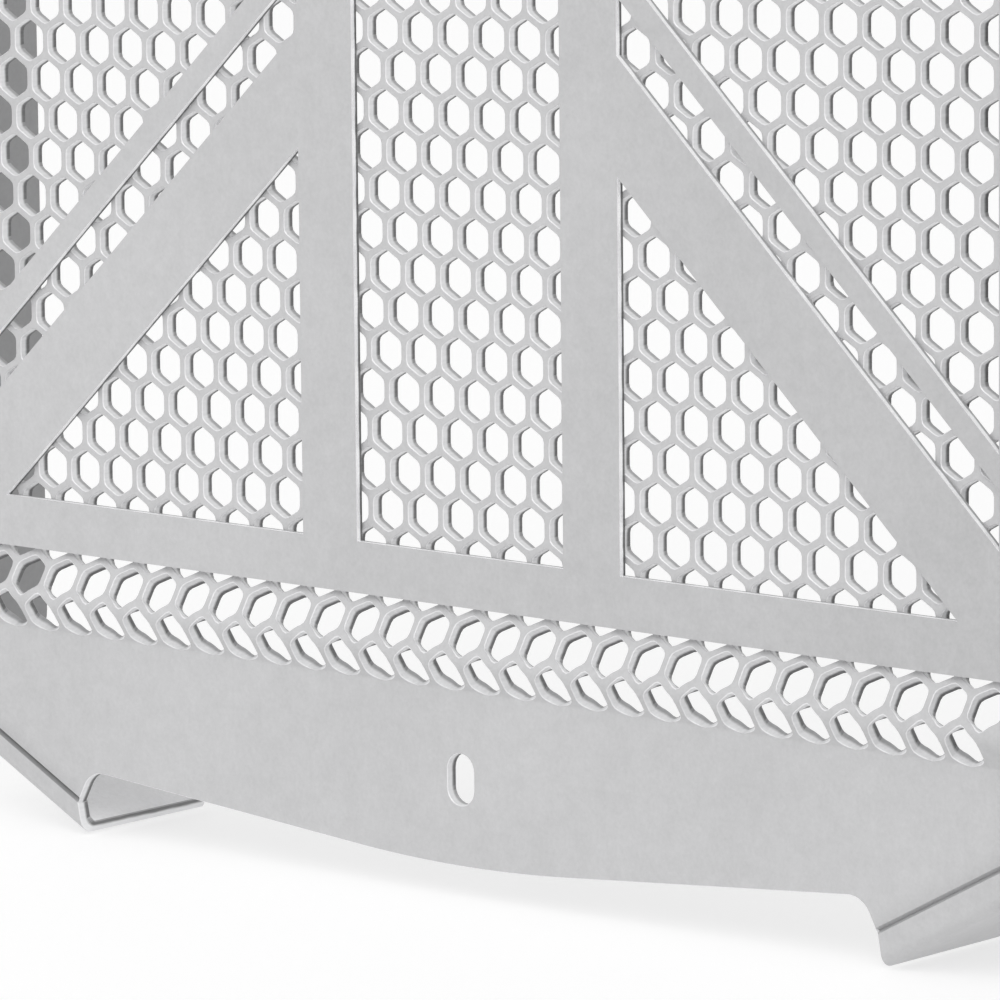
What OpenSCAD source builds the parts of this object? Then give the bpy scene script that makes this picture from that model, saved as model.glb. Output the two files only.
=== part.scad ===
// Radiator guard for a motorcycle: a perforated sheet with folded side flanges, a joggled lower
// edge, an apron with a fixing slot and two folded lower ears, behind a flat front frame of
// upright and crossed bars. Millimetres, +Z up, the front faces -Y, the guard is upright.
// The origin lies midway between the two head slots, on the back face of the flat sheet.

/* [Sheet] */
// Overall width, across the side flanges
guard_w = 208; // [190:1:260]
// Thickness of the perforated sheet
sheet_t = 2; // [1:0.1:3]
// Inner radius of the folds along the sides
fold_r = 1.5; // [1:0.1:4]
// How far the side flanges reach behind the flat sheet
side_flange_d = 17.5; // [10:0.5:30]
// How far the side flanges run on below the flat sheet
side_tongue_h = 21; // [0:1:30]
// Radius of the corners of the side flanges
flange_corner_r = 5; // [1:0.5:8]

/* [Perforation] */
// Distance between hole centres in a row; the real sheet has a third of it, and nine times the holes
hole_pitch = 20.1; // [16:0.1:24]
// Width of a hexagonal hole across its flats
hole_flats = 16.8; // [8:0.1:17.5]
// How far the hole pattern sits off the middle of the guard
pattern_shift = -1.2; // [-3:0.1:3]
// Least metal between a hole and the edge of the flat sheet
edge_web = 2.4; // [1:0.1:4]
// Width of the small holes in the joggle's two slopes, across their flats
joggle_hole_flats = 5.6; // [3:0.1:6]

/* [Head] */
// Height of the plain head strip above the front frame
head_h = 16; // [12:1:30]
// Width of the plain head strip
head_w = 184; // [170:1:198]
// Radius of the corners of the head strip
head_corner_r = 6; // [2:0.5:7.5]
// Distance of the two head slots from the ends of the head strip
slot_inset = 17; // [14:0.5:60]

/* [Slots] */
// Width of the fixing slots
slot_w = 5; // [3:0.1:8]
// Length of the fixing slots, end to end
slot_l = 7.6; // [6.5:0.1:10]

/* [Joggle and apron] */
// Angle of the joggle's two slopes to the sheet
joggle_angle = 33; // [20:1:40]
// Length of the joggle's front slope, between its two folds
front_slope_l = 8; // [7.4:0.1:10]
// Radius of the joggle's folds, at the middle of the sheet's thickness
joggle_r = 2; // [1.6:0.1:2.7]
// How far the apron stands in front of the flat sheet
apron_step = 1.4; // [0.5:0.1:2]
// Height of the apron at the middle of the guard
apron_h = 26; // [22:0.2:34]
// Height of the apron's slot centre above its lower edge at the middle
apron_slot_up = 12.7; // [9:0.1:16]
// Angle at which the apron's lower edge rises to both sides
apron_rise = 4.7; // [2:0.1:8]
// Half width of the round middle of the apron's lower edge
apron_round = 20; // [10:1:30]

/* [Ears] */
// Width of the ears, out to the sides of the flat sheet
ear_w = 24.2; // [20:0.1:30]
// Slope of the ears' fold
ear_angle = 28; // [15:1:35]
// Height from the apron's edge down to the ears' fold, along the ear's end
ear_drop = 5.8; // [4.6:0.1:9]
// Radius between the apron's edge and the ear
ear_fillet_r = 4; // [1:0.1:4.2]
// Height of the ears' front face below the fold
ear_face_h = 4.5; // [3.5:0.1:8]
// Lean of the ears' front face
ear_lean = 13; // [5:1:20]
// How far the ears' flanges reach behind the flat sheet
ear_flange_d = 24; // [16:0.5:32]
// Outer radius of the fold between the ear's face and its flange
ear_fold_r = 2.4; // [2.2:0.1:3]
// Width of the groove that marks the ears' fold
ear_groove_w = 0.9; // [0.4:0.1:1.6]
// Depth of the groove
ear_groove_d = 0.7; // [0.2:0.1:0.9]
// Radius of the hole in each ear's flange
ear_hole_r = 3.25; // [2:0.05:4]
// Distance of that hole from the ear's inner end, along the fold
ear_hole_along = 15.5; // [8:0.5:18]
// Distance of that hole behind the flat sheet
ear_hole_back = 10; // [7:0.5:14]

/* [Front frame] */
// Height of the front frame
frame_h = 222; // [200:1:280]
// Thickness of the front frame
frame_t = 1.2; // [0.8:0.1:3]
// Radius of the front frame's outer corners
frame_corner_r = 3; // [1:0.5:6]
// Width of the bars along the top and the bottom
end_bar_w = 7.6; // [4:0.1:14]
// Width of the rims along both sides
rim_w = 3.2; // [2.5:0.1:7]
// Clear width between the two upright bars
middle_gap = 39.2; // [20:0.1:60]
// Width of the two upright bars
upright_w = 10.5; // [5:0.1:16]
// Slope of the crossed bars
cross_angle = 43.3; // [38:0.1:46]
// Width of the wide crossed bars
cross_w = 12.4; // [6:0.1:16]
// Gap between a wide crossed bar and its thin strip
strip_gap = 6.1; // [3:0.1:8]
// Width of the thin strips
strip_w = 3.6; // [2:0.1:6]
// Distance from the middle at which the wide bars leave the top and bottom bars
cross_foot = 90.2; // [80:0.1:92]

/* [Hidden] */
$fn = 64;

metal = [0.78, 0.78, 0.78];
metal_dark = [0.7, 0.7, 0.71];

// How far a shape runs on into, or past, the one that it joins or cuts
over = 1;

// Outer radius of the side folds, and the width of the sheet that stays flat between them
side_fold_r = fold_r + sheet_t;
flat_w = guard_w - 2 * side_fold_r;

// Heights: the head slots lie at zero, and everything else hangs below them
head_top = head_h / 2;
frame_top = head_top - head_h;
frame_bottom = frame_top - frame_h;
fold_z = frame_bottom - joggle_r * tan(joggle_angle / 2);

// The joggle's first fold begins at the front frame's lower edge; the flat sheet and the joggle
// are drawn apart and join a little above it
join_z = frame_bottom + over;

// The side folds stop short of the joggle, which leaves it free to bend
side_low = join_z + over;

// Rows of holes, counted up from the fold; every other row starts half a pitch aside
row_pitch = hole_pitch * sqrt(3) / 2;
hole_r = hole_flats / sqrt(3);
row_room = frame_top - join_z - 2 * hole_r - 2 * edge_web;
row_count = floor(row_room / row_pitch) + 1;
first_row_z = join_z + edge_web + hole_r + (row_room - (row_count - 1) * row_pitch) / 2;
column_reach = floor((flat_w / 2 + abs(pattern_shift)) / hole_pitch) + 1;
hole_limit = flat_w / 2 - hole_flats / 2 - edge_web;

// Path of the joggle, along the middle of the sheet's thickness, from the fold downwards
front_hole_at = front_slope_l / 2;
ridge_out = front_slope_l * sin(joggle_angle);
back_slope_l = (ridge_out - apron_step) / sin(joggle_angle);
back_hole_at = back_slope_l / 2;
mid_y = -sheet_t / 2;
fold_point = [mid_y, fold_z];
ridge_point = [mid_y - ridge_out, fold_z - front_slope_l * cos(joggle_angle)];
apron_point = [mid_y - apron_step, ridge_point[1] - back_slope_l * cos(joggle_angle)];

// The apron's lower edge, and the line of each ear's fold
apron_front = apron_point[0] - sheet_t / 2;
apron_low = apron_point[1] - apron_h;
round_r = apron_round / sin(apron_rise);
rise_start = apron_low + round_r * (1 - cos(apron_rise));
ear_end_x = flat_w / 2;
ear_x = ear_end_x - ear_w;
ear_root_x = ear_x - ear_drop * sin(ear_angle);
ear_root_z = rise_start + (ear_root_x - apron_round) * tan(apron_rise);
ear_fold_z = ear_root_z - ear_drop * cos(ear_angle);
round_facets = 720;

// The plane of the sheet, seen from the front, becomes the plane of the page
module upright(thickness) {
  rotate([90, 0, 0])
    linear_extrude(height = thickness) children();
}

module both_sides() {
  children();
  mirror([1, 0, 0]) children();
}

module hexagon(flats) {
  rotate(90) circle(r = flats / sqrt(3), $fn = 6);
}

// Middles of one row's holes, out to the last whole one
function row_middles(row) =
  let (start = pattern_shift + (row % 2 == 0 ? 0 : hole_pitch / 2))
  [for (column = [-column_reach : column_reach])
    let (x = start + column * hole_pitch)
    if (abs(x) <= hole_limit) x];

module hole_row(row, flats) {
  for (x = row_middles(row)) translate([x, 0]) hexagon(flats);
}

module slot(long_x) {
  run = (slot_l - slot_w) / 2;
  for (side = [-1, 1])
    translate(long_x ? [side * run, 0] : [0, side * run]) circle(d = slot_w);
  square(long_x ? [2 * run, slot_w] : [slot_w, 2 * run], center = true);
}

// Quarter round at a corner of the head strip, from the side to the top
corner_steps = 8;
function head_corner(side) = [
  for (i = [0 : corner_steps])
    let (a = 90 * i / corner_steps)
    [side * (head_w / 2 - head_corner_r * (1 - cos(a))), head_top - head_corner_r * (1 - sin(a))]];

// Flat sheet between the side folds, with its head strip
module flat_outline() {
  polygon(concat(
    [[-flat_w / 2, join_z], [flat_w / 2, join_z], [flat_w / 2, frame_top], [head_w / 2, frame_top]],
    head_corner(1),
    backwards(head_corner(-1)),
    [[-head_w / 2, frame_top], [-flat_w / 2, frame_top]]));
}

module flat_panel() {
  upright(sheet_t) difference() {
    flat_outline();
    for (row = [0 : row_count - 1])
      translate([0, first_row_z + row * row_pitch]) hole_row(row, hole_flats);
    for (side = [-1, 1])
      translate([side * (head_w / 2 - slot_inset), 0]) slot(true);
  }
}

// Quarter turn of the side fold, seen from above
module side_fold_profile() {
  translate([guard_w / 2 - side_fold_r, fold_r]) intersection() {
    difference() {
      circle(r = side_fold_r);
      circle(r = fold_r);
    }
    translate([0, -side_fold_r]) square([side_fold_r, side_fold_r]);
  }
}

// What is cut from a corner at the origin, whose sides run down and to the left, to round it
module corner_waste(r) {
  translate([-r, -r]) difference() {
    square([r + over, r + over]);
    circle(r = r);
  }
}

// Side flange, seen from the side: page X is the depth, page Y the height
module side_flange_outline() {
  low = side_low - side_tongue_h;
  tongue_front = fold_r + sheet_t;
  difference() {
    translate([fold_r, low]) square([side_flange_d - fold_r, frame_top - low]);
    translate([fold_r - over, low - over]) square([tongue_front - fold_r + over, side_low - low + over]);
    translate([side_flange_d, low]) mirror([0, 1]) corner_waste(flange_corner_r);
    translate([side_flange_d, frame_top]) corner_waste(flange_corner_r);
  }
}

module side_flange() {
  translate([0, 0, side_low]) linear_extrude(height = frame_top - side_low) side_fold_profile();
  translate([guard_w / 2 - sheet_t, 0, 0])
    rotate([90, 0, 90]) linear_extrude(height = sheet_t) side_flange_outline();
}

// A rounded corner of the joggle: points of one face of the sheet, turning from one heading to
// another. A heading of zero runs straight down, and a positive one leans to the front.
bend_steps = 4;
function heading(a) = [-sin(a), -cos(a)];
function side_way(a) = [-cos(a), sin(a)];
function bend(corner, from, to, off) =
  let (turn = to - from, reach = joggle_r * tan(abs(turn) / 2))
  let (hand = turn > 0 ? 1 : -1)
  let (start = corner - heading(from) * reach)
  let (centre = start + side_way(from) * hand * joggle_r)
  [for (i = [0 : bend_steps])
    let (a = from + turn * i / bend_steps)
    centre - side_way(a) * (hand * joggle_r - off)];

function face_points(off) = concat(
  [[mid_y - off, join_z]],
  bend(fold_point, 0, joggle_angle, off),
  bend(ridge_point, joggle_angle, -joggle_angle, off),
  bend(apron_point, -joggle_angle, 0, off),
  [[mid_y - apron_step - off, apron_low - ear_drop - over]]);

function backwards(list) = [for (i = [len(list) - 1 : -1 : 0]) list[i]];

module joggle_profile() {
  polygon(concat(face_points(sheet_t / 2), backwards(face_points(-sheet_t / 2))));
}

// The apron's blank, down to the middle of each ear's groove; the ears' blanks carry on from there
module apron_blank() {
  top = join_z + 2 * over;
  wide_x = ear_end_x + 2 * over;
  start_z = ear_fold_z + ear_groove_w / 2 / cos(ear_angle);
  end_z = start_z + (wide_x - ear_x) * tan(ear_angle);
  low_z = apron_low - over;
  polygon([
    [-wide_x, end_z], [-ear_x, start_z], [-ear_x + 2 * over, low_z],
    [ear_x - 2 * over, low_z], [ear_x, start_z], [wide_x, end_z],
    [wide_x, top], [-wide_x, top]]);
}

// Open space below the apron's edge and between the two ears
module below_edge() {
  low_z = apron_low - apron_h;
  difference() {
    polygon([
      [-ear_x, low_z], [-ear_x, ear_fold_z],
      [-ear_root_x, ear_root_z], [-apron_round, rise_start],
      [apron_round, rise_start], [ear_root_x, ear_root_z],
      [ear_x, ear_fold_z], [ear_x, low_z]]);
    both_sides() fillet_metal();
    translate([0, apron_low + round_r]) circle(r = round_r, $fn = round_facets);
  }
}

// Metal in the corner between the apron's rising edge and the ear
module fillet_metal() {
  turn = 90 - ear_angle + apron_rise;
  reach = ear_fillet_r * tan(turn / 2);
  centre_x = ear_root_x - reach * cos(apron_rise) + ear_fillet_r * sin(apron_rise);
  centre_z = ear_root_z - reach * sin(apron_rise) - ear_fillet_r * cos(apron_rise);
  edge_x = centre_x - ear_fillet_r * sin(apron_rise);
  edge_z = centre_z + ear_fillet_r * cos(apron_rise);
  side_x = centre_x + ear_fillet_r * cos(ear_angle);
  side_z = centre_z + ear_fillet_r * sin(ear_angle);
  difference() {
    polygon([
      [centre_x, centre_z], [side_x, side_z],
      [ear_root_x + over * cos(ear_angle), ear_root_z + over],
      [edge_x - over * sin(apron_rise), edge_z + over]]);
    translate([centre_x, centre_z]) circle(r = ear_fillet_r);
  }
}

module slope_holes(row, along, corner, angle) {
  centre = corner + heading(angle) * along;
  translate([0, centre[0], centre[1]])
    rotate([angle, 0, 0])
      translate([0, sheet_t, 0]) upright(2 * sheet_t) hole_row(row, joggle_hole_flats);
}

module joggle_and_apron() {
  wide = ear_end_x + 2 * over;
  intersection() {
    translate([-wide, 0, 0]) rotate([90, 0, 90])
      linear_extrude(height = 2 * wide) joggle_profile();
    translate([0, sheet_t, 0]) upright(ridge_out + 4 * sheet_t) apron_blank();
  }
}

// Everything below the joint: the blanks are joined first and then cut to their outline
module lower_sheet() {
  deep = 2 * ear_flange_d + 4 * ridge_out;
  difference() {
    union() {
      joggle_and_apron();
      both_sides() along_ear() ear_profile();
    }
    translate([0, deep / 2, 0]) upright(deep) below_edge();
    both_sides() translate([ear_end_x, -deep / 2, apron_low - apron_h])
      cube([3 * ear_end_x, deep, 4 * apron_h]);
    both_sides() along_ear() groove_profile();
    slope_holes(1, front_hole_at, fold_point, joggle_angle);
    slope_holes(2, back_hole_at, ridge_point, -joggle_angle);
    translate([0, 0, apron_low + apron_slot_up]) upright(4 * sheet_t) slot(false);
    both_sides() translate([ear_x, ear_hole_back, ear_fold_z]) rotate([0, -ear_angle, 0])
      translate([ear_hole_along, 0, -2 * ear_face_h]) cylinder(r = ear_hole_r, h = 3 * ear_face_h);
  }
}

// Section of an ear across its fold: page X runs down the ear's face, page Y to the back
ear_fold_steps = 6;
ear_fold_mid = [
  ear_face_h * cos(ear_lean) - ear_fold_r,
  apron_front + (ear_face_h * cos(ear_lean) - ear_fold_r) * tan(ear_lean) + ear_fold_r / cos(ear_lean)];
function ear_fold(r) = [
  for (i = [0 : ear_fold_steps])
    let (a = ear_lean - 90 + (90 - ear_lean) * i / ear_fold_steps)
    ear_fold_mid + r * [cos(a), sin(a)]];

module ear_profile() {
  polygon(concat(
    [[-ear_groove_w / 2, apron_front], [0, apron_front]],
    ear_fold(ear_fold_r),
    [[ear_fold_mid[0] + ear_fold_r, ear_flange_d],
     [ear_fold_mid[0] + ear_fold_r - sheet_t, ear_flange_d]],
    backwards(ear_fold(ear_fold_r - sheet_t)),
    [[0, apron_front + sheet_t], [-ear_groove_w / 2, apron_front + sheet_t]]));
}

// A section drawn across the ear's fold, run along it
module along_ear() {
  room = ear_end_x - ear_x;
  translate([ear_x, 0, ear_fold_z]) rotate([0, -ear_angle, 0]) translate([-room / 2, 0, 0])
    rotate([0, 90, 0]) linear_extrude(height = 2 * room) children();
}

// Section of the groove, which opens to the front
module groove_profile() {
  polygon([
    [-ear_groove_w, apron_front - over], [0, apron_front - over], [0, apron_front],
    [-ear_groove_w / 2, apron_front + ear_groove_d], [-ear_groove_w, apron_front]]);
}

// The folded sheet: one piece of metal, perforated, with its flanges, apron and ears
module perforated_sheet() color(metal_dark) {
  flat_panel();
  both_sides() side_flange();
  lower_sheet();
}

// One wide crossed bar and its thin strip, from a foot on the bottom bar to an upright bar
module crossed_pair() {
  inner_x = middle_gap / 2 + upright_w / 2;
  outer_x = guard_w / 2;
  foot_z = frame_bottom + end_bar_w;
  for (band = [[0, cross_w], [cross_w + strip_gap, strip_w]]) {
    low = band[0] / cos(cross_angle);
    high = low + band[1] / cos(cross_angle);
    inner_rise = (cross_foot - inner_x) * tan(cross_angle);
    outer_rise = (cross_foot - outer_x) * tan(cross_angle);
    polygon([
      [inner_x, foot_z + inner_rise + low],
      [outer_x, foot_z + outer_rise + low],
      [outer_x, foot_z + outer_rise + high],
      [inner_x, foot_z + inner_rise + high]]);
  }
}

module rounded_box(w, low, high, r) {
  translate([-w / 2 + r, low]) square([w - 2 * r, high - low]);
  translate([-w / 2, low + r]) square([w, high - low - 2 * r]);
  for (side = [-1, 1], z = [low + r, high - r])
    translate([side * (w / 2 - r), z]) circle(r = r);
}

module frame_outline() {
  middle_z = (frame_top + frame_bottom) / 2;
  difference() {
    rounded_box(flat_w, frame_bottom, frame_top, frame_corner_r);
    translate([rim_w - flat_w / 2, frame_bottom + end_bar_w])
      square([flat_w - 2 * rim_w, frame_h - 2 * end_bar_w]);
  }
  intersection() {
    rounded_box(flat_w, frame_bottom, frame_top, frame_corner_r);
    union() {
      for (side = [0, 1], end = [0, 1])
        mirror([side, 0]) translate([0, end * 2 * middle_z]) mirror([0, end]) crossed_pair();
      for (side = [-1, 1])
        translate([side * (middle_gap + upright_w) / 2 - upright_w / 2, frame_bottom])
          square([upright_w, frame_h]);
    }
  }
}

module front_frame() color(metal) {
  translate([0, -sheet_t, 0]) upright(frame_t) frame_outline();
}

perforated_sheet();
front_frame();
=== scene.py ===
import math

import bpy
import numpy as np
from mathutils import Matrix, Vector
from mathutils.geometry import delaunay_2d_cdt


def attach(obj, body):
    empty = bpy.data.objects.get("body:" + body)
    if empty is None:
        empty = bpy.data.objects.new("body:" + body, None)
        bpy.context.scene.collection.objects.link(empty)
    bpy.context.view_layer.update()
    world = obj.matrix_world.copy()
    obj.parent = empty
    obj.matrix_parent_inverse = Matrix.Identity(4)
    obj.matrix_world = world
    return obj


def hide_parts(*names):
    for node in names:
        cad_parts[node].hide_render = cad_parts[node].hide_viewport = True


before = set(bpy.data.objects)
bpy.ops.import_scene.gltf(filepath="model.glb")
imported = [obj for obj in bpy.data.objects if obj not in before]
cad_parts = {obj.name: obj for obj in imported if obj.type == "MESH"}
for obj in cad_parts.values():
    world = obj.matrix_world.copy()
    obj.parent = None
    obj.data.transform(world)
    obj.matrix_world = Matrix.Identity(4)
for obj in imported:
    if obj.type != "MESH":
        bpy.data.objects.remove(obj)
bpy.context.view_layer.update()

MM = 0.001

# Sizes in millimetres, in the part's own frame: +Z is up and the front faces -Y.

# The sheet, its folded sides and the tongues that go on below the frame
T = 2.0
HALF = T / 2
FLAT_X = 100.5
FOLD_R = 1.5
FOLD_ARC = (FOLD_R + HALF) * math.pi / 2
FLANGE_BACK = 17.5
FLANGE_CORNER = 5.0
FRAME_TOP = -8.0
FRAME_BOTTOM = -230.0
SIDE_LOW = FRAME_BOTTOM + 2.0
TONGUE_L = 21.0
TONGUE_LOW = SIDE_LOW - TONGUE_L
TONGUE_GAP = 2.0

# The head strip, and the slots in it and in the apron
HEAD_TOP = 8.0
HEAD_X = 92.0
HEAD_CORNER = 6.0
HEAD_SLOT_INSET = 17.0
HEAD_SLOT_X = HEAD_X - HEAD_SLOT_INSET
APRON_SLOT_UP = 12.7
SLOT_W = 5.0
SLOT_L = 7.6

# The joggle and the apron
JOG_A = math.radians(33)
JOG_R = 2.0
JOG_FRONT = 8.0
APRON_STEP = 1.4
APRON_H = 26.0
RISE = math.radians(4.7)
ROUND_X = 20.0

# The ears: their fold, with a groove above it, their leaning face and their flange with a hole
EAR_X = 76.3
EAR_A = math.radians(28)
EAR_DROP = 5.8
EAR_FILLET = 4.0
EAR_FACE = 4.5
EAR_LEAN = math.radians(13)
LEAN_EASE = 0.4
EAR_BACK = 24.0
EAR_R = 2.4
EAR_HOLE_ALONG = 15.5
EAR_HOLE_BACK = 10.0
EAR_HOLE_R = 3.25
GROOVE_W = 0.9
GROOVE_D = 0.7
# How far inside the ear a point is still looked at for its fold, and a bend's line reaches
FOLD_REACH = 8.0
LINE_REACH = 3.0

# The perforation, with its rows counted downwards from one near the middle of the photograph
PITCH = 6.7
FLATS = 5.62
SHIFT = -1.2
ROW = PITCH * math.sqrt(3) / 2
ROW_ZERO = -171.1
ROWS = range(-27, 13)
COLUMNS = range(-40, 41)
PLAIN_RIM = 0.3

# Soft edges: the chamfer of every cut in the sheet, the frame's bevel, and the share of a
# hexagon's side that a corner's round takes up, with how far the round's middle moves in
CHAMFER = 0.14
BEVEL = 0.1
BEVEL_FROM = math.radians(40)
SHARP = math.radians(28)
CORNER_CUT = 0.2
ROUND_SHARE = 2 - math.sqrt(3)

# Steps in a corner's quarter, the half round of a slot, a fillet or long curve, a hole, a fold
# and the bend at an ear's end
CORNER_STEPS = 8
SLOT_STEPS = 12
FILLET_STEPS = 10
HOLE_STEPS = 28
FOLD_STEPS = 8
EAR_END_STEPS = 6

# Limits of the mesh: the least divisor of a mitre, which keeps a sharp corner short, how near
# two points or lines are the same, what counts as no length, no rise and no area, and the
# cell of the grid that finds the holes near a point
MITRE = 0.3
SAME_POINT = 1e-5
SAME_LINE = 1e-4
JOIN = 1e-7
NO_LENGTH = 1e-9
NO_RISE = 1e-12
NO_AREA = 1e-9
CELL = 8


# Path of the joggle: lengths along the middle of the sheet, from the fold's start downwards

reach = JOG_R * math.tan(JOG_A / 2)
ridge_reach = JOG_R * math.tan(JOG_A)
ridge_out = JOG_FRONT * math.sin(JOG_A)
back_l = (ridge_out - APRON_STEP) / math.sin(JOG_A)
fold_z = FRAME_BOTTOM - reach
ridge_z = fold_z - JOG_FRONT * math.cos(JOG_A)
apron_top = ridge_z - back_l * math.cos(JOG_A)
# For each run, its lean at the start and at the end, its length and its steps in the mesh
RUNS = [
    (0.0, JOG_A, JOG_R * JOG_A, 5),
    (JOG_A, JOG_A, JOG_FRONT - reach - ridge_reach, 1),
    (JOG_A, -JOG_A, JOG_R * 2 * JOG_A, 8),
    (-JOG_A, -JOG_A, back_l - ridge_reach - reach, 1),
    (-JOG_A, 0.0, JOG_R * JOG_A, 5),
]


def heading(a):
    """The way down along the sheet, as (y, z), where it leans forwards by a."""
    return Vector((-math.sin(a), -math.cos(a)))


def sideways(a):
    """The way out of the sheet's front, as (y, z), where it leans forwards by a."""
    return Vector((-math.cos(a), math.sin(a)))


def run_starts():
    """Where each run starts, along the path and as (y, z), and the same for the path's end."""
    point = Vector((-HALF, FRAME_BOTTOM))
    out, s = [], 0.0
    for a0, a1, length, _ in RUNS:
        out.append((s, point.copy()))
        if a0 == a1:
            point = point + heading(a0) * length
        else:
            hand = 1 if a1 > a0 else -1
            centre = point + sideways(a0) * hand * JOG_R
            point = centre - sideways(a1) * hand * JOG_R
        s += length
    return out, s, point


STARTS, PATH_L, PATH_END = run_starts()
APRON_Y = PATH_END[0]
# On the apron, the flat pattern's height is the true height less this
FLAT_OFF = PATH_END[1] - (FRAME_BOTTOM - PATH_L)


def path(v, w):
    """(y, z) of a point of the sheet between its folded sides, from its height v in the flat
    pattern and its place w through the sheet."""
    s = FRAME_BOTTOM - v
    if s <= 0:
        return -HALF - w, v
    for (a0, a1, length, _), (s0, p0) in zip(RUNS, STARTS):
        if s < s0 + length:
            if a0 == a1:
                q = p0 + heading(a0) * (s - s0) + sideways(a0) * w
                return q[0], q[1]
            hand = 1 if a1 > a0 else -1
            a = a0 + (a1 - a0) * (s - s0) / length
            centre = p0 + sideways(a0) * hand * JOG_R
            q = centre - sideways(a) * (hand * JOG_R - w)
            return q[0], q[1]
    return APRON_Y - w, PATH_END[1] - (s - PATH_L)


# Outline of the apron and the line of each ear's fold, in true heights

apron_low = apron_top - APRON_H
round_r = ROUND_X / math.sin(RISE)
rise_z = apron_low + round_r * (1 - math.cos(RISE))
root_x = EAR_X - EAR_DROP * math.sin(EAR_A)
root_z = rise_z + (root_x - ROUND_X) * math.tan(RISE)
ear_z = root_z - EAR_DROP * math.cos(EAR_A)


# Section of an ear: the centre of its bend, and the lengths of its face, bend and flange

FRONT_Y = APRON_Y - HALF
mid_h = EAR_FACE * math.cos(EAR_LEAN) - EAR_R
mid_y = FRONT_Y + mid_h * math.tan(EAR_LEAN) + EAR_R / math.cos(EAR_LEAN)
bend_start = EAR_LEAN - math.pi / 2
face_l = (mid_h + EAR_R * math.cos(bend_start)) / math.cos(EAR_LEAN)
bend_l = EAR_R * (math.pi / 2 - EAR_LEAN)
flange_l = EAR_BACK - mid_y


def crease(u):
    """Height of an ear's fold in the flat pattern."""
    return ear_z - FLAT_OFF + (abs(u) - EAR_X) * math.tan(EAR_A)


def on_ear(u, q):
    """The point of the flat pattern that lies q below the fold, measured across the ear."""
    return u, crease(u) - q / math.cos(EAR_A)


def ear_section(q, w):
    """(depth below the fold, y) of the ear's section, q along its front surface."""
    behind = HALF - w
    if q <= face_l:
        lean = EAR_LEAN * min(1.0, q / LEAN_EASE)
        h = q * math.cos(EAR_LEAN)
        y = FRONT_Y + q * math.sin(EAR_LEAN)
        return h - math.sin(lean) * behind, y + math.cos(lean) * behind
    if q <= face_l + bend_l:
        a = bend_start + (q - face_l) / EAR_R
        r = EAR_R - behind
        return mid_h + r * math.cos(a), mid_y + r * math.sin(a)
    return mid_h + EAR_R - behind, mid_y + (q - face_l - bend_l)


def fold(u, v, w):
    """Where a point of the flat pattern goes in the folded sheet. w is its place through the
    sheet, +1 on the front and -1 on the back."""
    side = 1 if u > 0 else -1
    x = abs(u)
    # Below the frame, only the tongue belongs to the flange: the sheet's own edge stays in line
    if x > FLAT_X and (v > FRAME_BOTTOM or x > FLAT_X + FOLD_ARC):
        t = x - FLAT_X
        r = FOLD_R + HALF + w
        if t < FOLD_ARC:
            a = t / (FOLD_R + HALF)
            return side * (FLAT_X + r * math.sin(a)), FOLD_R - r * math.cos(a), v
        return side * (FLAT_X + r), FOLD_R + t - FOLD_ARC, v
    q = -1.0
    if x > EAR_X - FOLD_REACH:
        q = (crease(u) - v) * math.cos(EAR_A)
    if q > 0:
        h, y = ear_section(q, w)
        h0 = ear_section(q, HALF)[0]
        z = ear_z + (x - EAR_X) * math.tan(EAR_A) - h0 / math.cos(EAR_A)
        dx = (h - h0) * math.sin(EAR_A)
        dz = -(h - h0) * math.cos(EAR_A)
        return side * (x + dx), y, z + dz
    y, z = path(v, w)
    if w == HALF and -GROOVE_W < q < 0:
        y += GROOVE_D * (1 - abs(q + GROOVE_W / 2) / (GROOVE_W / 2))
    return side * x, y, z


# The flat pattern


def arc_points(cx, cy, r, a0, a1, steps):
    """Points of an arc from a0 to a1 degrees."""
    angles = [math.radians(a0 + (a1 - a0) * i / steps) for i in range(steps + 1)]
    return [(cx + r * math.cos(a), cy + r * math.sin(a)) for a in angles]


def slot_loop(cx, cy, along_x):
    run = (SLOT_L - SLOT_W) / 2
    loop = arc_points(run, 0, SLOT_W / 2, -90, 90, SLOT_STEPS)
    loop += arc_points(-run, 0, SLOT_W / 2, 90, 270, SLOT_STEPS)
    if not along_x:
        loop = [(-y, x) for x, y in loop]
    return [(cx + x, cy + y) for x, y in loop]


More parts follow.
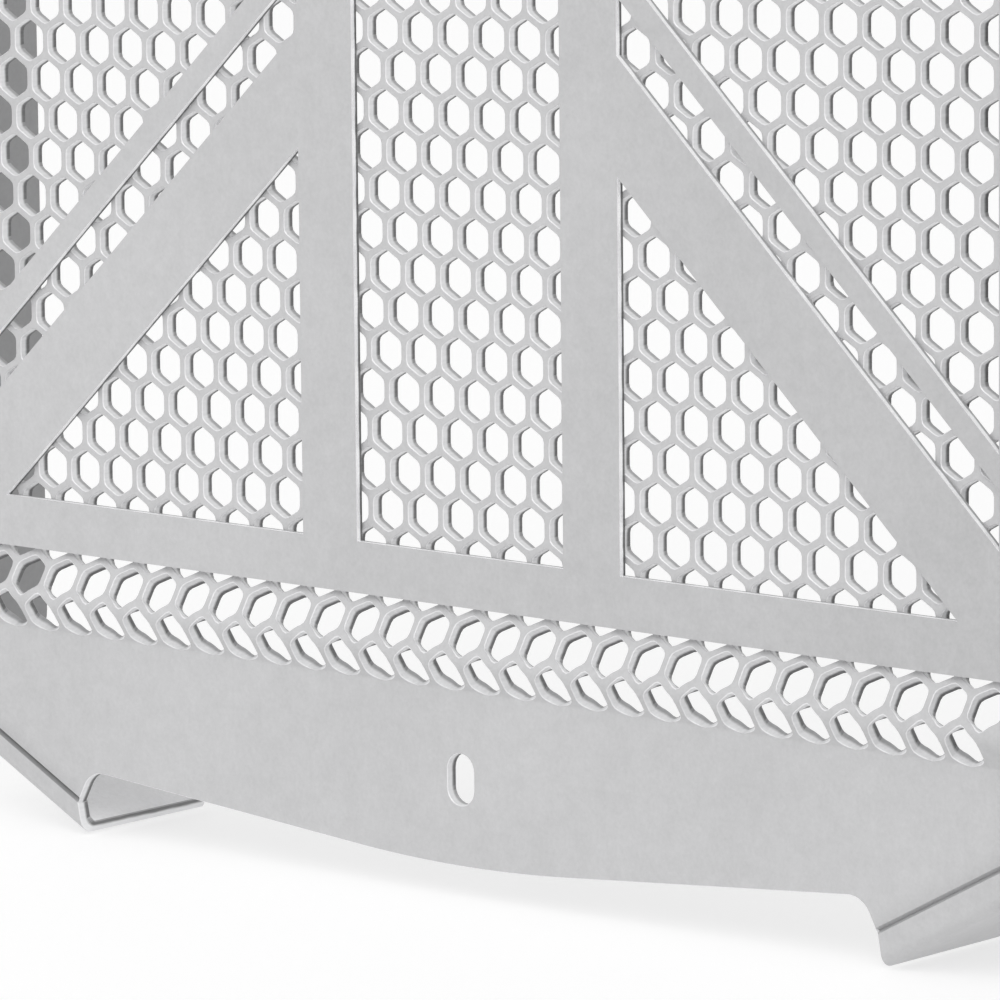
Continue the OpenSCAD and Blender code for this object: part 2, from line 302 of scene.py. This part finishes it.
def right_outline():
    """The outline's right half, from the middle of the top round to the middle of the bottom."""
    end_u = FLAT_X + FOLD_ARC + FLANGE_BACK - FOLD_R
    corner_u = end_u - FLANGE_CORNER
    tongue_u = FLAT_X + FOLD_ARC + TONGUE_GAP
    pts = arc_points(
        HEAD_X - HEAD_CORNER, HEAD_TOP - HEAD_CORNER, HEAD_CORNER, 90, 0, CORNER_STEPS
    )
    pts += [(HEAD_X, FRAME_TOP), (FLAT_X, FRAME_TOP)]
    pts += arc_points(corner_u, FRAME_TOP - FLANGE_CORNER, FLANGE_CORNER, 90, 0, CORNER_STEPS)
    pts += arc_points(corner_u, TONGUE_LOW + FLANGE_CORNER, FLANGE_CORNER, 0, -90, CORNER_STEPS)
    pts += [(tongue_u, TONGUE_LOW), (tongue_u, SIDE_LOW), (FLAT_X, SIDE_LOW)]
    # Down the ear's outer end, along its flange and back up its inner end
    marks = [0.0, LEAN_EASE, face_l]
    marks += [face_l + bend_l * i / EAR_END_STEPS for i in range(1, EAR_END_STEPS + 1)]
    marks.append(face_l + bend_l + flange_l)
    pts += [on_ear(FLAT_X, q) for q in marks]
    pts += [on_ear(EAR_X, q) for q in reversed(marks)]
    # Fillet between the ear and the apron's rising edge
    turn = math.pi / 2 - EAR_A + RISE
    back = EAR_FILLET * math.tan(turn / 2)
    cx = root_x - back * math.cos(RISE) + EAR_FILLET * math.sin(RISE)
    cz = root_z - back * math.sin(RISE) - EAR_FILLET * math.cos(RISE)
    a0, a1 = math.degrees(EAR_A), 90 + math.degrees(RISE)
    fillet = arc_points(cx, cz, EAR_FILLET, a0, a1, FILLET_STEPS)
    pts += [(x, z - FLAT_OFF) for x, z in fillet]
    # The round middle of the lower edge
    for i in range(FILLET_STEPS, -1, -1):
        a = RISE * i / FILLET_STEPS
        z = apron_low - FLAT_OFF + round_r * (1 - math.cos(a))
        pts.append((round_r * math.sin(a), z))
    return pts


def hexagon(cx, cy):
    """A hexagon with small rounds at its corners, of three points each."""
    r = FLATS / math.sqrt(3)
    angles = [math.radians(60 * i + 30) for i in range(6)]
    corners = [(r * math.cos(a), r * math.sin(a)) for a in angles]
    middle = 1 - CORNER_CUT * ROUND_SHARE
    out = []
    for i, (x, y) in enumerate(corners):
        (ax, ay), (bx, by) = corners[i - 1], corners[(i + 1) % 6]
        out.append((cx + x + (ax - x) * CORNER_CUT, cy + y + (ay - y) * CORNER_CUT))
        out.append((cx + x * middle, cy + y * middle))
        out.append((cx + x + (bx - x) * CORNER_CUT, cy + y + (by - y) * CORNER_CUT))
    return out


def hole_centres():
    """Centres of the holes. Below the frame, the rows go on at the same distance along the
    sheet."""
    limit = FLAT_X - FLATS / 2 - PLAIN_RIM
    out = []
    for j in ROWS:
        for i in COLUMNS:
            x = PITCH * (i + (0.5 if j % 2 else 0.0)) + SHIFT
            if abs(x) <= limit:
                out.append((x, ROW_ZERO - ROW * j))
    return out


def ear_hole(side):
    """The round hole in the flange of an ear."""
    q = face_l + bend_l + EAR_HOLE_BACK - mid_y
    depth = mid_h + EAR_R
    x = EAR_X + EAR_HOLE_ALONG * math.cos(EAR_A) + depth * math.sin(EAR_A)
    loop = []
    for i in range(HOLE_STEPS):
        a = 2 * math.pi * i / HOLE_STEPS
        u = x + EAR_HOLE_R * math.cos(a) * math.cos(EAR_A)
        u, v = on_ear(u, q + EAR_HOLE_R * math.sin(a))
        loop.append((side * u, v))
    return loop


def bend_lines():
    """The lines of the flat pattern along which it bends, each of them once."""
    lines = []
    for (_, _, length, steps), (s0, _) in zip(RUNS, STARTS):
        for i in range(steps + 1):
            v = FRAME_BOTTOM - s0 - length * i / steps
            lines.append(((-FLAT_X, v), (FLAT_X, v)))
    marks = [-GROOVE_W, -GROOVE_W / 2, 0.0, LEAN_EASE]
    marks += [face_l + bend_l * i / FOLD_STEPS for i in range(FOLD_STEPS + 1)]
    for side in (-1, 1):
        for i in range(FOLD_STEPS + 1):
            u = side * (FLAT_X + FOLD_ARC * i / FOLD_STEPS)
            lines.append(((u, SIDE_LOW), (u, FRAME_TOP)))
        for q in marks:
            lines.append((on_ear(side * (EAR_X - LINE_REACH), q), on_ear(side * FLAT_X, q)))
    unique = []
    for line in lines:
        if all(math.dist(line[0], k[0]) + math.dist(line[1], k[1]) > SAME_LINE for k in unique):
            unique.append(line)
    return unique


# A closed mesh from the flat pattern


def area(loop):
    return sum(x1 * y2 - x2 * y1 for (x1, y1), (x2, y2) in zip(loop, loop[1:] + loop[:1])) / 2


def directed(loop, anticlockwise):
    """A loop without repeated points, in one direction."""
    out = []
    for p in loop:
        if not out or math.dist(p, out[-1]) > SAME_POINT:
            out.append(p)
    if math.dist(out[0], out[-1]) < SAME_POINT:
        out.pop()
    return out if (area(out) > 0) == anticlockwise else out[::-1]


def mitre(a, b):
    """How far a corner moves for each unit that its sides move to their left. a and b are the
    directions of the side before it and after it."""
    na, nb = Vector((-a.y, a.x)), Vector((-b.y, b.x))
    return (na + nb) / max(MITRE, 1 + na.dot(nb))


def offset_loop(loop, distance):
    """Moves a loop to the left of its direction by a distance, with mitred corners."""
    n, out = len(loop), []
    for i in range(n):
        (x0, y0), (x1, y1), (x2, y2) = loop[i - 1], loop[i], loop[(i + 1) % n]
        a = Vector((x1 - x0, y1 - y0))
        b = Vector((x2 - x1, y2 - y1))
        a = a.normalized() if a.length > NO_LENGTH else b.normalized()
        b = b.normalized() if b.length > NO_LENGTH else a
        m = mitre(a, b)
        out.append((x1 + m.x * distance, y1 + m.y * distance))
    return out


def in_loop(points, loop):
    """For each point, whether it lies inside the loop."""
    x, y = points[:, 0], points[:, 1]
    inside = np.zeros(len(points), bool)
    for (x1, y1), (x2, y2) in zip(loop, loop[1:] + loop[:1]):
        if abs(y1 - y2) < NO_RISE:
            continue
        hit = (y1 > y) != (y2 > y)
        cross = (x2 - x1) * (y - y1) / (y2 - y1) + x1
        inside ^= hit & (x < cross)
    return inside


def in_metal(points, outer, holes):
    """For each point, whether it lies inside the outline and outside every hole."""
    near = {}
    for hole in holes:
        low, high = np.array(hole).min(axis=0), np.array(hole).max(axis=0)
        for cx in range(int(low[0] // CELL), int(high[0] // CELL) + 1):
            for cy in range(int(low[1] // CELL), int(high[1] // CELL) + 1):
                near.setdefault((cx, cy), []).append(hole)
    keep = in_loop(points, outer)
    for i in np.nonzero(keep)[0]:
        cell = (int(points[i, 0] // CELL), int(points[i, 1] // CELL))
        if any(in_loop(points[i : i + 1], hole)[0] for hole in near.get(cell, [])):
            keep[i] = False
    return keep


def triangulate(outer, holes, lines):
    """Points and anticlockwise triangles of the metal, with every line as edges."""
    verts, edges = [], []
    for loop in [outer] + holes:
        n0 = len(verts)
        verts += [Vector(p) for p in loop]
        edges += [(n0 + i, n0 + (i + 1) % len(loop)) for i in range(len(loop))]
    for a, b in lines:
        edges.append((len(verts), len(verts) + 1))
        verts += [Vector(a), Vector(b)]
    out_verts, _, out_faces, _, _, _ = delaunay_2d_cdt(verts, edges, [], 0, JOIN, False)
    points = np.array([(v.x, v.y) for v in out_verts])
    tris = np.array([f for f in out_faces if len(f) == 3])
    tris = tris[in_metal(points[tris].mean(axis=1), outer, holes)]
    p = points[tris]
    ab, ac = p[:, 1] - p[:, 0], p[:, 2] - p[:, 0]
    twice = ab[:, 0] * ac[:, 1] - ac[:, 0] * ab[:, 1]
    tris[twice < 0] = tris[twice < 0][:, ::-1]
    tris = tris[np.abs(twice) > NO_AREA]
    # Only the points that are in use, with new numbers
    used = np.unique(tris)
    number = -np.ones(len(points), int)
    number[used] = np.arange(len(used))
    return points[used], number[tris]


def open_edges(tris):
    """Edges with a triangle on their left only."""
    edges = dict.fromkeys((int(t[i]), int(t[(i + 1) % 3])) for t in tris for i in range(3))
    return [(a, b) for a, b in edges if (b, a) not in edges]


def plate_mesh(name, outer, holes, lines, place, chamfer):
    """A closed sheet from a flat pattern: outer and holes are loops, lines are where it bends,
    and place takes a point of the pattern, with its place through the sheet, to where it goes.
    The attribute "through" keeps each point's place through the sheet for the material."""
    outer = offset_loop(directed(outer, True), chamfer)
    holes = [offset_loop(directed(hole, False), chamfer) for hole in holes]
    points, tris = triangulate(outer, holes, lines)
    coords, through = [], []
    for w in (HALF, -HALF):
        for u, v in points:
            coords.append(place(u, v, w))
            through.append(w)
    rim = open_edges(tris)
    after, before = {}, {}
    for a, b in rim:
        after.setdefault(a, b)
        before.setdefault(b, a)
    # Two points of the cut wall beside each point of the rim
    walls = {}
    for a, b in after.items():
        d1 = Vector(points[a] - points[before[a]]).normalized()
        d2 = Vector(points[b] - points[a]).normalized()
        out = mitre(d1, d2) * -chamfer
        walls[a] = len(coords)
        for w in (HALF - chamfer, chamfer - HALF):
            coords.append(place(points[a][0] + out.x, points[a][1] + out.y, w))
            through.append(w)
    n = len(points)
    faces = [tuple(int(i) for i in t) for t in tris]
    faces += [tuple(int(i) + n for i in t[::-1]) for t in tris]
    for a, b in rim:
        wa, wb = walls[a], walls[b]
        faces += [(a, wa, wb, b), (wa, wa + 1, wb + 1, wb), (wa + 1, a + n, b + n, wb + 1)]
    mesh = bpy.data.meshes.new(name)
    mesh.from_pydata([(x * MM, y * MM, z * MM) for x, y, z in coords], [], faces)
    layer = mesh.attributes.new("through", "FLOAT", "POINT")
    layer.data.foreach_set("value", np.array(through, dtype=np.float32))
    mesh.validate()
    mesh.update()
    obj = bpy.data.objects.new(name, mesh)
    bpy.context.scene.collection.objects.link(obj)
    return obj


right_side = right_outline()
outline = right_side + [(-u, v) for u, v in reversed(right_side)]
cuts = [hexagon(x, z) for x, z in hole_centres()]
cuts += [slot_loop(side * HEAD_SLOT_X, 0, True) for side in (-1, 1)]
cuts.append(slot_loop(0, apron_low + APRON_SLOT_UP - FLAT_OFF, False))
cuts += [ear_hole(side) for side in (-1, 1)]
sheet = plate_mesh("perforated_mesh", outline, cuts, bend_lines(), fold, CHAMFER)
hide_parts("perforated_sheet")
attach(sheet, "root")
sheet.data.shade_smooth()
sheet.data.set_sharp_from_angle(angle=SHARP)


# Materials

# Noises of the finish: scale per metre, detail and roughness
CLOUDS = (28.0, 3.0, 0.55)
MOTTLE = (420.0, 3.0, 0.6)
GRAIN = (1500.0, 2.0, 0.7)
WAVER = (260.0, 2.0, 0.55)
STREAKS = (2600.0, 1.0, 0.55)
STREAK_SCALE = (1.0, 0.12, 1.0)

# How far the noises move a tone, the roughness or, in millimetres, the border in a cut wall
CLOUD_TONE = 0.06
MOTTLE_TONE = 0.08
GRAIN_TONE = 0.1
PALE_STREAKS = 0.16
DARK_STREAKS = 0.12
GRAIN_ROUGH = 0.12
WAVER_MM = 0.35

# The metal itself
METALLIC = 0.35
ROUGHNESS = 0.52
COOLNESS = 1.012
BUMP = 0.12
BUMP_MM = 0.05

# A cut wall gets painted light where it faces up, in full where the normal's Z comes to UP_FULL.
# Its own tone begins where a point's place through the sheet comes under WALL_FROM.
UP_PAINTED_LIGHT = 0.26
UP_FULL = 1 / 2.2
WALL_FROM = 11 / 12

# The painted shade above an ear's fold and its dark core: how far they reach up, in millimetres,
# and how much they take away. Then the painted shade at the sides of the flanges' backs and the
# painted light on their tops.
SHADE_REACH = 4.5
SHADE_TONE = 0.17
CORE_REACH = 1.0
CORE_EDGE = 0.25
CORE_TONE = 0.3
SIDE_PAINTED_SHADE = -0.32
TOP_PAINTED_LIGHT = 0.55


class Graph:
    """Short calls for a shader's nodes. A value is a number or another node's output."""

    def __init__(self, tree):
        self.tree = tree

    def link(self, value, socket):
        if isinstance(value, (int, float)):
            socket.default_value = value
        else:
            self.tree.links.new(value, socket)

    def node(self, kind, *values):
        node = self.tree.nodes.new(kind)
        for value, socket in zip(values, node.inputs):
            self.link(value, socket)
        return node

    def calc(self, operation, *values, clamp=False):
        node = self.node("ShaderNodeMath", *values)
        node.operation = operation
        node.use_clamp = clamp
        return node.outputs[0]

    def plus(self, a, b):
        return self.calc("ADD", a, b)

    def minus(self, a, b):
        return self.calc("SUBTRACT", a, b)

    def times(self, a, b):
        return self.calc("MULTIPLY", a, b)

    def blend(self, a, b, share):
        return self.plus(a, self.times(self.minus(b, a), share))

    def span(self, value, start, end, low=0.0, high=1.0):
        """Runs from low at start to high at end and stays level beyond both."""
        return self.node("ShaderNodeMapRange", value, start, end, low, high).outputs[0]

    def split(self, vector):
        return self.node("ShaderNodeSeparateXYZ", vector).outputs

    def noise(self, vector, scale, detail, roughness):
        node = self.node("ShaderNodeTexNoise", vector)
        node.inputs["Scale"].default_value = scale
        node.inputs["Detail"].default_value = detail
        node.inputs["Roughness"].default_value = roughness
        return node.outputs["Fac"]

    def varied(self, noise, strength, level=0.0):
        """A level that the noise moves up and down, by the strength from end to end."""
        return self.calc("MULTIPLY_ADD", noise, strength, level - strength / 2)


def new_material(name):
    """A material with nothing but its shader, that shader and a graph for its nodes."""
    mat = bpy.data.materials.new(name)
    mat.use_nodes = True
    tree = mat.node_tree
    for node in list(tree.nodes):
        if node.type not in ("OUTPUT_MATERIAL", "BSDF_PRINCIPLED"):
            tree.nodes.remove(node)
    return mat, tree.nodes["Principled BSDF"], Graph(tree)


def dress(obj, mat):
    if obj.data.materials:
        for slot in obj.material_slots:
            slot.material = mat
    else:
        obj.data.materials.append(mat)


def fold_shade(g, x, z, through):
    """Shadow above the fold of each ear, on the front. Only the left groove is dark at its
    core: the right one faces the light."""
    out = g.times(g.calc("ABSOLUTE", x), 1 / MM)
    fold_height = g.plus(g.times(g.minus(out, EAR_X), math.tan(EAR_A)), ear_z)
    below = g.times(g.minus(fold_height, g.times(z, 1 / MM)), math.cos(EAR_A))
    near = g.span(below, -SHADE_REACH, 0.0)
    soft = g.times(g.times(near, near), SHADE_TONE)
    core = g.span(below, -CORE_REACH, CORE_EDGE - CORE_REACH, 0.0, CORE_TONE)
    core = g.times(core, g.calc("LESS_THAN", x, 0.0))
    above = g.span(below, 0.05, -0.075)
    ends = g.span(out, EAR_X - 2, EAR_X + 1)
    on_front = g.span(through, 0.5, 0.75)
    return g.times(g.times(g.times(g.plus(soft, core), above), ends), on_front)


def painted_flange_light(g, facing, through):
    """On the back, painted shade dulls the side flanges and painted light brightens the top of
    the ears' flanges.
    """
    side = g.span(g.calc("ABSOLUTE", facing["X"]), 0.75, 0.95, 0.0, SIDE_PAINTED_SHADE)
    top_light = g.span(facing["Z"], 0.6, 0.8, 0.0, TOP_PAINTED_LIGHT)
    on_back = g.span(through, -0.5, -0.75)
    return g.times(g.plus(side, top_light), on_back)


def satin_metal(name, level, shade_drift, pale, dark, border, softness, folded):
    """Blasted aluminium with laser-cut walls. level is the tone of its faces, and drift the
    painted shade that darkens them, for each metre to the right. The walls carry the cut's
    streaks and are pale, a painted highlight, in front of the border and dark, painted shade,
    behind it: the border is a depth in millimetres, in the folded sheet from its middle plane
    and otherwise from the part's origin. Softness is the width of that border."""
    mat, shader, g = new_material(name)
    at = g.node("ShaderNodeTexCoord").outputs["Object"]
    place = g.split(at)
    facing = g.split(g.node("ShaderNodeNewGeometry").outputs["True Normal"])
    grain = g.noise(at, *GRAIN)
    face = g.varied(g.noise(at, *CLOUDS), CLOUD_TONE, level)
    face = g.plus(face, g.varied(grain, GRAIN_TONE))
    face = g.plus(face, g.varied(g.noise(at, *MOTTLE), MOTTLE_TONE))
    # Painted shade: the faces darken towards the right
    face = g.plus(face, g.times(place["X"], -shade_drift))
    # Walls are known by their depth between the surfaces, or by how they stand to the front
    if folded:
        attribute = g.node("ShaderNodeAttribute")
        attribute.attribute_name = "through"
        depth = attribute.outputs["Fac"]
        wall = g.span(g.calc("ABSOLUTE", depth), HALF, WALL_FROM)
        face = g.times(face, g.minus(1.0, fold_shade(g, place["X"], place["Z"], depth)))
        # Painted shade on the side flanges' backs and painted light on the tops of the ears'
        # flanges
        face = g.times(face, g.plus(painted_flange_light(g, facing, depth), 1.0))
    else:
        depth = g.times(place["Y"], -1 / MM)
        wall = g.span(g.calc("ABSOLUTE", facing["Y"]), 0.6, 0.55)
    # The cut's streaks run through the sheet, and its border wavers
    stretch = g.node("ShaderNodeMapping", at)
    stretch.inputs["Scale"].default_value = STREAK_SCALE
    streak = g.noise(stretch.outputs["Vector"], *STREAKS)
    # A wall that faces up catches the light and shows less of its dark half
    lift = g.span(facing["Z"], 0.0, UP_FULL, 0.0, UP_PAINTED_LIGHT)
    shadow = g.plus(g.varied(streak, DARK_STREAKS, dark), lift)
    wavering = g.plus(depth, g.varied(g.noise(at, *WAVER), WAVER_MM))
    # The cut's streaks under a painted highlight on each wall's front half and painted shade on
    # its back half
    in_front = g.span(wavering, border - softness / 2, border + softness / 2)
    cut = g.blend(shadow, g.varied(streak, PALE_STREAKS, pale), in_front)
    value = g.blend(face, cut, wall)
    colour = g.node("ShaderNodeCombineColor", value, value, g.times(value, COOLNESS))
    g.link(colour.outputs[0], shader.inputs["Base Color"])
    shader.inputs["Metallic"].default_value = METALLIC
    g.link(g.varied(grain, GRAIN_ROUGH, ROUGHNESS), shader.inputs["Roughness"])
    bump = g.node("ShaderNodeBump")
    bump.inputs["Strength"].default_value = BUMP
    bump.inputs["Distance"].default_value = BUMP_MM * MM
    g.link(grain, bump.inputs["Height"])
    g.link(bump.outputs[0], shader.inputs["Normal"])
    return mat


# In both metals, pale and dark are the cut walls' painted highlight and painted shade
sheet_metal = satin_metal(
    "blasted_sheet",
    level=0.525,
    shade_drift=0.05,
    pale=0.8,
    dark=0.17,
    border=-0.15,
    softness=0.45,
    folded=True,
)
frame_metal = satin_metal(
    "blasted_frame",
    level=0.505,
    shade_drift=0.3,
    pale=1.0,
    dark=0.16,
    border=2.45,
    softness=0.2,
    folded=False,
)
dress(sheet, sheet_metal)

front_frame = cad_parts["front_frame"]
dress(front_frame, frame_metal)
bevel = front_frame.modifiers.new("edge", "BEVEL")
bevel.width = BEVEL * MM
bevel.segments = 1
bevel.limit_method = "ANGLE"
bevel.angle_limit = BEVEL_FROM


# Camera of the photograph, fitted to the lattice of holes. Its place is counted from the
# lattice's zero on the middle plane of the sheet, in millimetres along its own three axes.

CAMERA_TURN = math.radians(40.9345)
CAMERA_RISE = math.radians(9.1001)
CAMERA_ROLL = math.radians(-0.5488)
CAMERA_AWAY = 1205.17
CAMERA_ASIDE = 5.827
CAMERA_UP = -43.175
LENS = 304.452
SENSOR = 36.0
LATTICE_ZERO = Vector((SHIFT, -HALF, ROW_ZERO))


def photo_camera():
    turn, rise, roll = CAMERA_TURN, CAMERA_RISE, CAMERA_ROLL
    flat = math.cos(rise)
    away = Vector((math.sin(turn) * flat, -math.cos(turn) * flat, math.sin(rise)))
    level = Vector((math.cos(turn), math.sin(turn), 0))
    upright = away.cross(level)
    right = level * math.cos(roll) + upright * math.sin(roll)
    up = upright * math.cos(roll) - level * math.sin(roll)
    at = (right * CAMERA_ASIDE + up * CAMERA_UP + away * CAMERA_AWAY + LATTICE_ZERO) * MM
    data = bpy.data.cameras.new("camera")
    data.sensor_fit = "HORIZONTAL"
    data.sensor_width = SENSOR
    data.lens = LENS
    data.clip_start = 0.05
    data.clip_end = 50.0
    camera = bpy.data.objects.new("camera", data)
    rows = [(right[i], up[i], away[i], at[i]) for i in range(3)]
    camera.matrix_world = Matrix(rows + [(0, 0, 0, 1)])
    bpy.context.scene.collection.objects.link(camera)
    bpy.context.scene.camera = camera


photo_camera()


# Floor, light and background. The floor's gap to the ears is in millimetres, and its reach and
# the lights' places are in metres.

FLOOR_GAP = 0.8
FLOOR_REACH = 6.0
FLOOR_TONE = 0.4
FLOOR_ROUGHNESS = 0.7
FLOOR_GLOW = 0.6
# The world's light fades from its front tone to the one behind between these directions in Y
GLOW_FRONT = 0.95
GLOW_BEHIND = 0.38
FADE_FROM = -0.5
FADE_TO = 0.6111
BACKDROP = 0.97
LIGHT_TARGET = Vector((0, 0, -0.15))


def pale_floor():
    """A floor just below the ears, which glows a little so that its shadows stay faint."""
    z = (ear_z - EAR_FACE - FLOOR_GAP) * MM
    r = FLOOR_REACH
    mesh = bpy.data.meshes.new("floor")
    mesh.from_pydata([(-r, -r, z), (r, -r, z), (r, r, z), (-r, r, z)], [], [(0, 1, 2, 3)])
    floor = bpy.data.objects.new("floor", mesh)
    bpy.context.scene.collection.objects.link(floor)
    mat, shader, _ = new_material("pale_floor")
    shader.inputs["Base Color"].default_value = (FLOOR_TONE, FLOOR_TONE, FLOOR_TONE, 1)
    shader.inputs["Roughness"].default_value = FLOOR_ROUGHNESS
    shader.inputs["Emission Color"].default_value = (1, 1, 1, 1)
    shader.inputs["Emission Strength"].default_value = FLOOR_GLOW
    dress(floor, mat)


def studio_world():
    """A white backdrop, which gives softer light from behind the guard than from its front."""
    world = bpy.data.worlds.new("studio")
    bpy.context.scene.world = world
    world.use_nodes = True
    background = world.node_tree.nodes["Background"]
    g = Graph(world.node_tree)
    aim = g.split(g.node("ShaderNodeTexCoord").outputs["Generated"])
    glow = g.span(aim["Y"], FADE_FROM, FADE_TO, GLOW_FRONT, GLOW_BEHIND)
    rays = g.node("ShaderNodeLightPath").outputs
    seen = g.plus(rays["Is Camera Ray"], rays["Is Glossy Ray"])
    seen = g.calc("ADD", seen, rays["Is Transmission Ray"], clamp=True)
    g.link(g.blend(glow, BACKDROP, seen), background.inputs["Color"])
    background.inputs["Strength"].default_value = 1.0


def softbox(name, at, size, power):
    """A square light that faces the middle of the guard."""
    data = bpy.data.lights.new(name, "AREA")
    data.shape = "RECTANGLE"
    data.size = size
    data.size_y = size
    data.energy = power
    obj = bpy.data.objects.new(name, data)
    obj.location = at
    aim = LIGHT_TARGET - Vector(at)
    obj.rotation_euler = aim.to_track_quat("-Z", "Y").to_euler()
    bpy.context.scene.collection.objects.link(obj)


pale_floor()
studio_world()
softbox("key", (0.9, -1.6, 1.5), 1.4, 16)
softbox("fill", (-1.6, -1.2, 0.6), 1.2, 3)

bpy.context.scene.view_settings.view_transform = "Standard"
